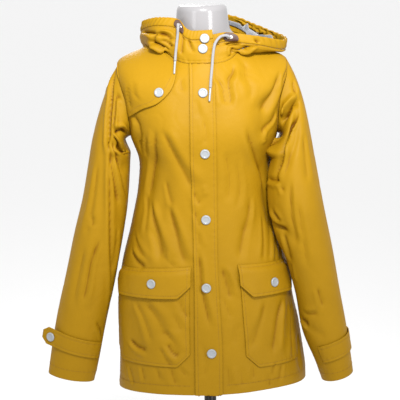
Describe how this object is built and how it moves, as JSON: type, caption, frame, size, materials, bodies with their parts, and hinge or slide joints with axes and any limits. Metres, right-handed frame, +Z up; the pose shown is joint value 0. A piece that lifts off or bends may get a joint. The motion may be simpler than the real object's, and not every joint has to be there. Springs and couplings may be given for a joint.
{
  "type": "hooded raincoat on dress form",
  "caption": "Thigh-length hooded raincoat with snapped storm flap, flapped pockets and cuff tabs, closed over a limbless dress form on a pole stand.",
  "frame": {"origin": "centre of the stand base's underside", "axes": "+Z up along the pole, -Y out of the coat's front, +X towards the wearer's left"},
  "size_m": [0.6405, 0.3475, 1.497],
  "materials": {
    "coated_yellow_cloth": "polyurethane-coated woven cloth, semi-gloss, golden yellow",
    "grey_jersey": "mottled brushed jersey lining",
    "white_snap_plastic": "moulded acetal, satin gloss",
    "white_cord": "round braided polyester cord",
    "brown_leather": "thin smooth leather patch",
    "nickel": "nickel-plated eyelet ring",
    "form_shell": "moulded shell, white gloss",
    "black_steel": "black powder-coated steel"
  },
  "bodies": {
    "root": {"back": "coated_yellow_cloth", "chest_flap": "coated_yellow_cloth", "cuff_tab_left": "coated_yellow_cloth", "cuff_tab_right": "coated_yellow_cloth", "drawcord_left": "white_cord", "drawcord_right": "white_cord", "drawcord_tip_left": "white_snap_plastic", "drawcord_tip_right": "white_snap_plastic", "eyelet_left": "nickel", "eyelet_patch_left": "brown_leather", "eyelet_patch_right": "brown_leather", "eyelet_right": "nickel", "form_neck_cap": "form_shell", "form_torso": "form_shell", "front_left": "coated_yellow_cloth", "front_right": "coated_yellow_cloth", "hood_casing_left": "coated_yellow_cloth", "hood_casing_right": "coated_yellow_cloth", "hood_left": "coated_yellow_cloth", "hood_lining_left": "grey_jersey", "hood_lining_right": "grey_jersey", "hood_right": "coated_yellow_cloth", "pocket_flap_left": "coated_yellow_cloth", "pocket_flap_right": "coated_yellow_cloth", "pocket_left": "coated_yellow_cloth", "pocket_right": "coated_yellow_cloth", "pole": "black_steel", "pole_socket": "black_steel", "sleeve_left": "coated_yellow_cloth", "sleeve_right": "coated_yellow_cloth", "snap_chest": "white_snap_plastic", "snap_cuff_left": "white_snap_plastic", "snap_cuff_right": "white_snap_plastic", "snap_front_1": "white_snap_plastic", "snap_front_2": "white_snap_plastic", "snap_front_3": "white_snap_plastic", "snap_front_4": "white_snap_plastic", "snap_front_5": "white_snap_plastic", "snap_pocket_left": "white_snap_plastic", "snap_pocket_right": "white_snap_plastic", "snap_throat_1": "white_snap_plastic", "snap_throat_2": "white_snap_plastic", "stand_base": "black_steel", "storm_flap": "coated_yellow_cloth"}
  },
  "joints": []
}
